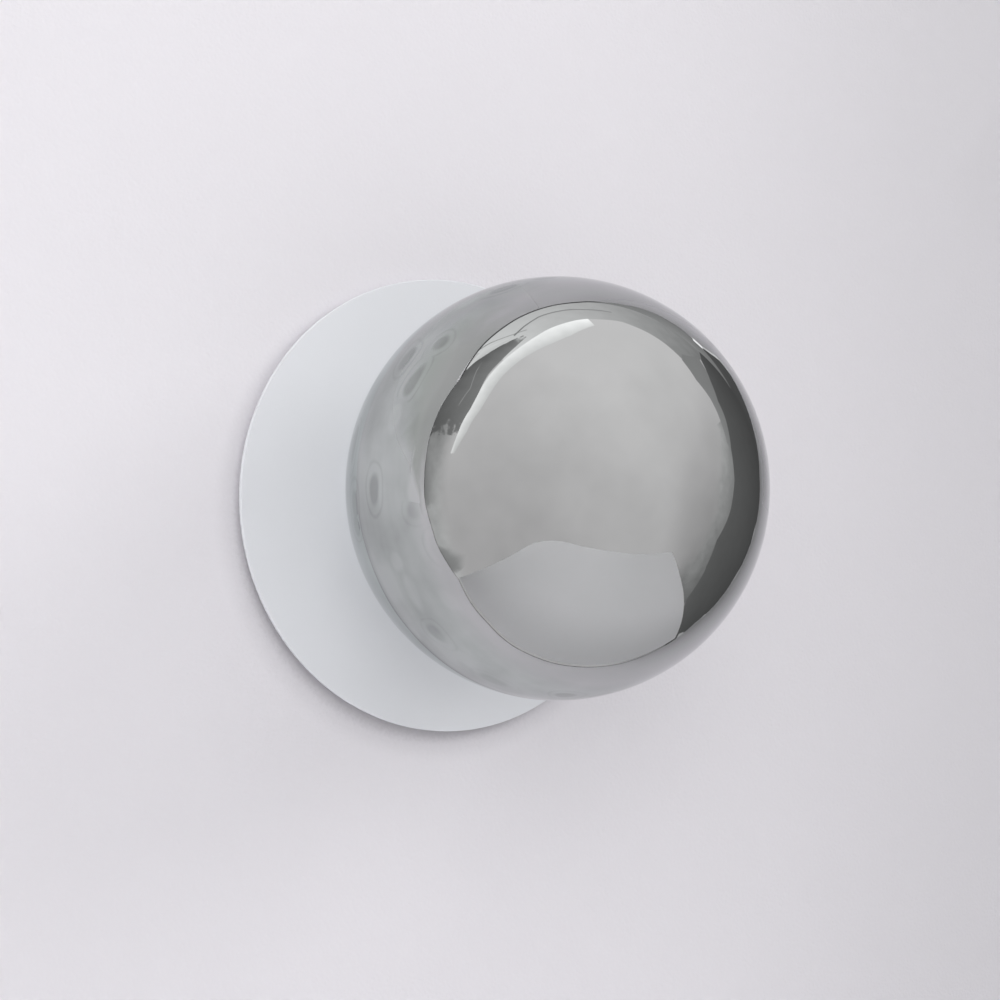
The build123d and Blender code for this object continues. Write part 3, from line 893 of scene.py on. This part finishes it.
def mirrored_room():
    """Add the panels that the glass mirrors: a doorway at the right, a lintel above, a corner at the left."""
    doorway = glow("doorway", (0.16, 0.07), (0.19, 0.09))
    reflector("dark_doorway", to_wall(DARK_DOORWAY), doorway)
    lower_wall = glow("lower_wall", (0.45, 0.45), (0.58, 0.58))
    reflector("lower_wall", to_wall(LOWER_WALL), lower_wall, distance=1.55)
    screen = glow("screen", (0.82, 0.38), (0.34, 0.20), soft_edge=0.35)
    reflector("grey_screen", GREY_SCREEN, screen, distance=1.63)
    jamb = glow("jamb", (0.39, 0.37), (0.44, 0.32))
    reflector("grey_jamb", GREY_JAMB, jamb, distance=1.62)
    lintel = glow("lintel", (0.30, 0.32), (1.24, 1.14), ragged=0.15)
    reflector("grey_lintel", to_wall(GREY_LINTEL), lintel, distance=1.64)
    lintel_line = glow("lintel_line", (0.36, 0.36), (0.5, 0.5))
    reflector("lintel_line", ribbon(LINTEL_LINE, 0.8), lintel_line, distance=1.55)
    corner = glow("corner", (0.40, 0.24), (0.32, 0.11), soft_ends=0.1)
    reflector("dark_corner", DARK_CORNER, corner)
    streak = glow("streak", (1.0, 1.2), (1.0, 1.2))
    reflector("corner_streak", CORNER_STREAK, streak, distance=1.56)
    line = glow("line", (0.3, 0.3), (0.5, 0.5))
    reflector("corner_line", ribbon(CORNER_LINE, 0.5), line, distance=1.55)
    split = glow("split", (0.45, 0.45), (0.5, 0.5), soft_ends=0.2)
    reflector("corner_split", ribbon(CORNER_SPLIT, 0.5), split, distance=1.55)
    post = glow("post", (0.36, 0.34), (0.84, 0.70), soft_edge=0.5)
    reflector("left_post", to_wall(LEFT_POST), post, distance=1.61)
    post_shade = glow("post_shade", (0.42, 0.24), (0.36, 0.30), soft_ends=0.25, soft_edge=0.8)
    reflector("post_shade", to_wall(POST_SHADE), post_shade, distance=1.57)
    knot = glow("knot", (0.60, 0.42), (0.50, 0.34), soft_ends=0.3, soft_edge=0.6)
    reflector("table_knot", TABLE_KNOT, knot, distance=1.54)
    strip = glow("strip", (0.94, 1.36), (1.25, 1.85))
    reflector("white_strip", WHITE_STRIP, strip, distance=1.5)
    spot = glow("spot", (1.6, 1.6), (1.6, 1.6))
    reflector("bright_spot", BRIGHT_SPOT, spot, distance=0.42)


def aimed_light(name, location, width, power, tint, shadow):
    """Add a square soft light that points at the lamp and that the glass doesn't mirror."""
    bpy.ops.object.light_add(type="AREA", location=location)
    light = bpy.context.object
    light.name = name
    light.data.size = width
    light.data.energy = power
    light.data.color = tint
    light.data.use_shadow = shadow
    light.rotation_euler = (-Vector(location)).to_track_quat("-Z", "Y").to_euler()
    light.visible_glossy = False


def photo_camera(settings):
    """Add the camera at the photo's point of view."""
    bpy.ops.object.camera_add(location=settings.camera)
    camera = bpy.context.object
    camera.name = "camera"
    camera.rotation_euler = Vector(settings.forward).to_track_quat("-Z", "Y").to_euler()
    camera.data.lens = settings.lens
    camera.data.sensor_width = SENSOR_WIDTH_MM
    camera.data.clip_start = 0.01
    return camera


def room_light(strength):
    """Plain soft light from all round."""
    world = bpy.data.worlds.new("studio_room")
    world.use_nodes = True
    world.node_tree.nodes["Background"].inputs["Color"].default_value = (0.985, 0.985, 1.0, 1.0)
    world.node_tree.nodes["Background"].inputs["Strength"].default_value = strength
    return world


class WALLLAMP_OT_studio(bpy.types.Operator):
    """Set up the wall, floor, mirrored room, lights and camera"""

    bl_idname = "walllamp.studio"
    bl_label = "Studio"

    def execute(self, context):
        scene = context.scene
        settings = scene.wall_lamp.studio
        wall_and_floor()
        table_top()
        mirrored_wall()
        room_dome()
        mirrored_room()
        aimed_light("key_light", (-0.7, -0.95, 0.45), 0.9, settings.key, SOFT_TINT, shadow=False)
        aimed_light("top_light", (-0.2, -1.2, 1.3), 1.4, settings.top, SOFT_TINT, shadow=False)
        aimed_light("rake_light", (1.7, -1.25, 1.15), 1.1, settings.rake, RAKE_TINT, shadow=True)
        scene.world = room_light(settings.room)
        scene.camera = photo_camera(settings)
        scene.view_settings.view_transform = "Standard"
        return {"FINISHED"}


class WALLLAMP_PT_sidebar(bpy.types.Panel):
    """Buttons and settings of the wall lamp"""

    bl_idname = "WALLLAMP_PT_sidebar"
    bl_label = "Wall Lamp"
    bl_space_type = "VIEW_3D"
    bl_region_type = "UI"
    bl_category = "Wall Lamp"

    def draw(self, context):
        lamp = context.scene.wall_lamp
        for step in STEPS:
            self.layout.operator(step.bl_idname)
        for group in (lamp.ball, lamp.thread, lamp.finish, lamp.studio):
            box = self.layout.box()
            for name in group.__annotations__:
                box.prop(group, name)


STEPS = (
    WALLLAMP_OT_metalwork,
    WALLLAMP_OT_wiring,
    WALLLAMP_OT_light_source,
    WALLLAMP_OT_glass_ball,
    WALLLAMP_OT_threads,
    WALLLAMP_OT_studio,
)
GROUPS = (BallSettings, ThreadSettings, FinishSettings, StudioSettings, LampSettings)
CLASSES = (*GROUPS, *STEPS, WALLLAMP_PT_sidebar)


def register():
    for item in CLASSES:
        bpy.utils.register_class(item)
    bpy.types.Scene.wall_lamp = bpy.props.PointerProperty(
        name="Wall Lamp", description="Settings of the wall lamp", type=LampSettings
    )


def unregister():
    del bpy.types.Scene.wall_lamp
    for item in reversed(CLASSES):
        bpy.utils.unregister_class(item)


def main():
    register()
    bpy.ops.walllamp.metalwork()
    bpy.ops.walllamp.wiring()
    bpy.ops.walllamp.light_source()
    bpy.ops.walllamp.glass_ball()
    bpy.ops.walllamp.threads()
    bpy.ops.walllamp.studio()


if __name__ == "__main__":
    main()
